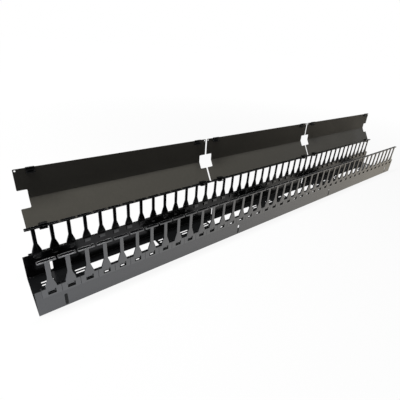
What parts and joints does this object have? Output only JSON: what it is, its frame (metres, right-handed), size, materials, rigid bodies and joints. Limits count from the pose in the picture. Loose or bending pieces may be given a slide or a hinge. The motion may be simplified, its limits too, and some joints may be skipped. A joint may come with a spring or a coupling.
{
  "type": "vertical cable manager",
  "caption": "Long U-shaped channel with rows of T-headed cable fingers on both walls and folded covers that hinge on the finger heads, for routing cables beside a rack.",
  "frame": {"origin": "middle of the outer face of the channel's back", "axes": "+X along the channel, +Y across it to the side where the covers hinge, +Z from the back towards the covers"},
  "size_m": [1.8954, 0.2095, 0.3089],
  "materials": {
    "powder_coated_steel": "black powder coat, fine texture, semi-gloss",
    "black_plastic": "black moulded plastic, satin"
  },
  "bodies": {
    "channel_body": {"channel": "powder_coated_steel", "finger_pair_01": "black_plastic", "finger_pair_02": "black_plastic", "finger_pair_03": "black_plastic", "finger_pair_04": "black_plastic", "finger_pair_05": "black_plastic", "finger_pair_06": "black_plastic", "finger_pair_07": "black_plastic", "finger_pair_08": "black_plastic", "finger_pair_09": "black_plastic", "finger_pair_10": "black_plastic", "finger_pair_11": "black_plastic", "finger_pair_12": "black_plastic", "finger_pair_13": "black_plastic", "finger_pair_14": "black_plastic", "finger_pair_15": "black_plastic", "finger_pair_16": "black_plastic", "finger_pair_17": "black_plastic", "finger_pair_18": "black_plastic", "finger_pair_19": "black_plastic", "finger_pair_20": "black_plastic", "finger_pair_21": "black_plastic", "finger_pair_22": "black_plastic", "finger_pair_23": "black_plastic", "finger_pair_24": "black_plastic", "finger_pair_25": "black_plastic", "finger_pair_26": "black_plastic", "finger_pair_27": "black_plastic", "finger_pair_28": "black_plastic", "finger_pair_29": "black_plastic", "finger_pair_30": "black_plastic", "finger_pair_31": "black_plastic", "finger_pair_32": "black_plastic", "finger_pair_33": "black_plastic", "finger_pair_34": "black_plastic", "finger_pair_35": "black_plastic", "finger_pair_36": "black_plastic", "finger_pair_37": "black_plastic", "finger_pair_38": "black_plastic", "finger_pair_39": "black_plastic", "finger_pair_40": "black_plastic", "finger_pair_41": "black_plastic", "finger_pair_42": "black_plastic"},
    "cover_1_body": {"cover_1": "powder_coated_steel", "hinge_clip_1a": "black_plastic", "hinge_clip_1b": "black_plastic", "latch_clip_1a": "black_plastic", "latch_clip_1b": "black_plastic"},
    "cover_2_body": {"cover_2": "powder_coated_steel", "hinge_clip_2a": "black_plastic", "hinge_clip_2b": "black_plastic", "latch_clip_2a": "black_plastic", "latch_clip_2b": "black_plastic"},
    "cover_3_body": {"cover_3": "powder_coated_steel", "hinge_clip_3a": "black_plastic", "hinge_clip_3b": "black_plastic", "latch_clip_3a": "black_plastic", "latch_clip_3b": "black_plastic"}
  },
  "joints": [
    {"name": "cover_1_hinge", "type": "hinge", "parent": "channel_body", "child": "cover_1_body", "pos_m": [-0.618, 0.07545, 0.155], "axis": [1, 0, 0], "range_deg": [0, 106.81]},
    {"name": "cover_2_hinge", "type": "hinge", "parent": "channel_body", "child": "cover_2_body", "pos_m": [0, 0.07545, 0.155], "axis": [1, 0, 0], "range_deg": [0, 106.81]},
    {"name": "cover_3_hinge", "type": "hinge", "parent": "channel_body", "child": "cover_3_body", "pos_m": [0.618, 0.07545, 0.155], "axis": [1, 0, 0], "range_deg": [0, 106.81]}
  ]
}
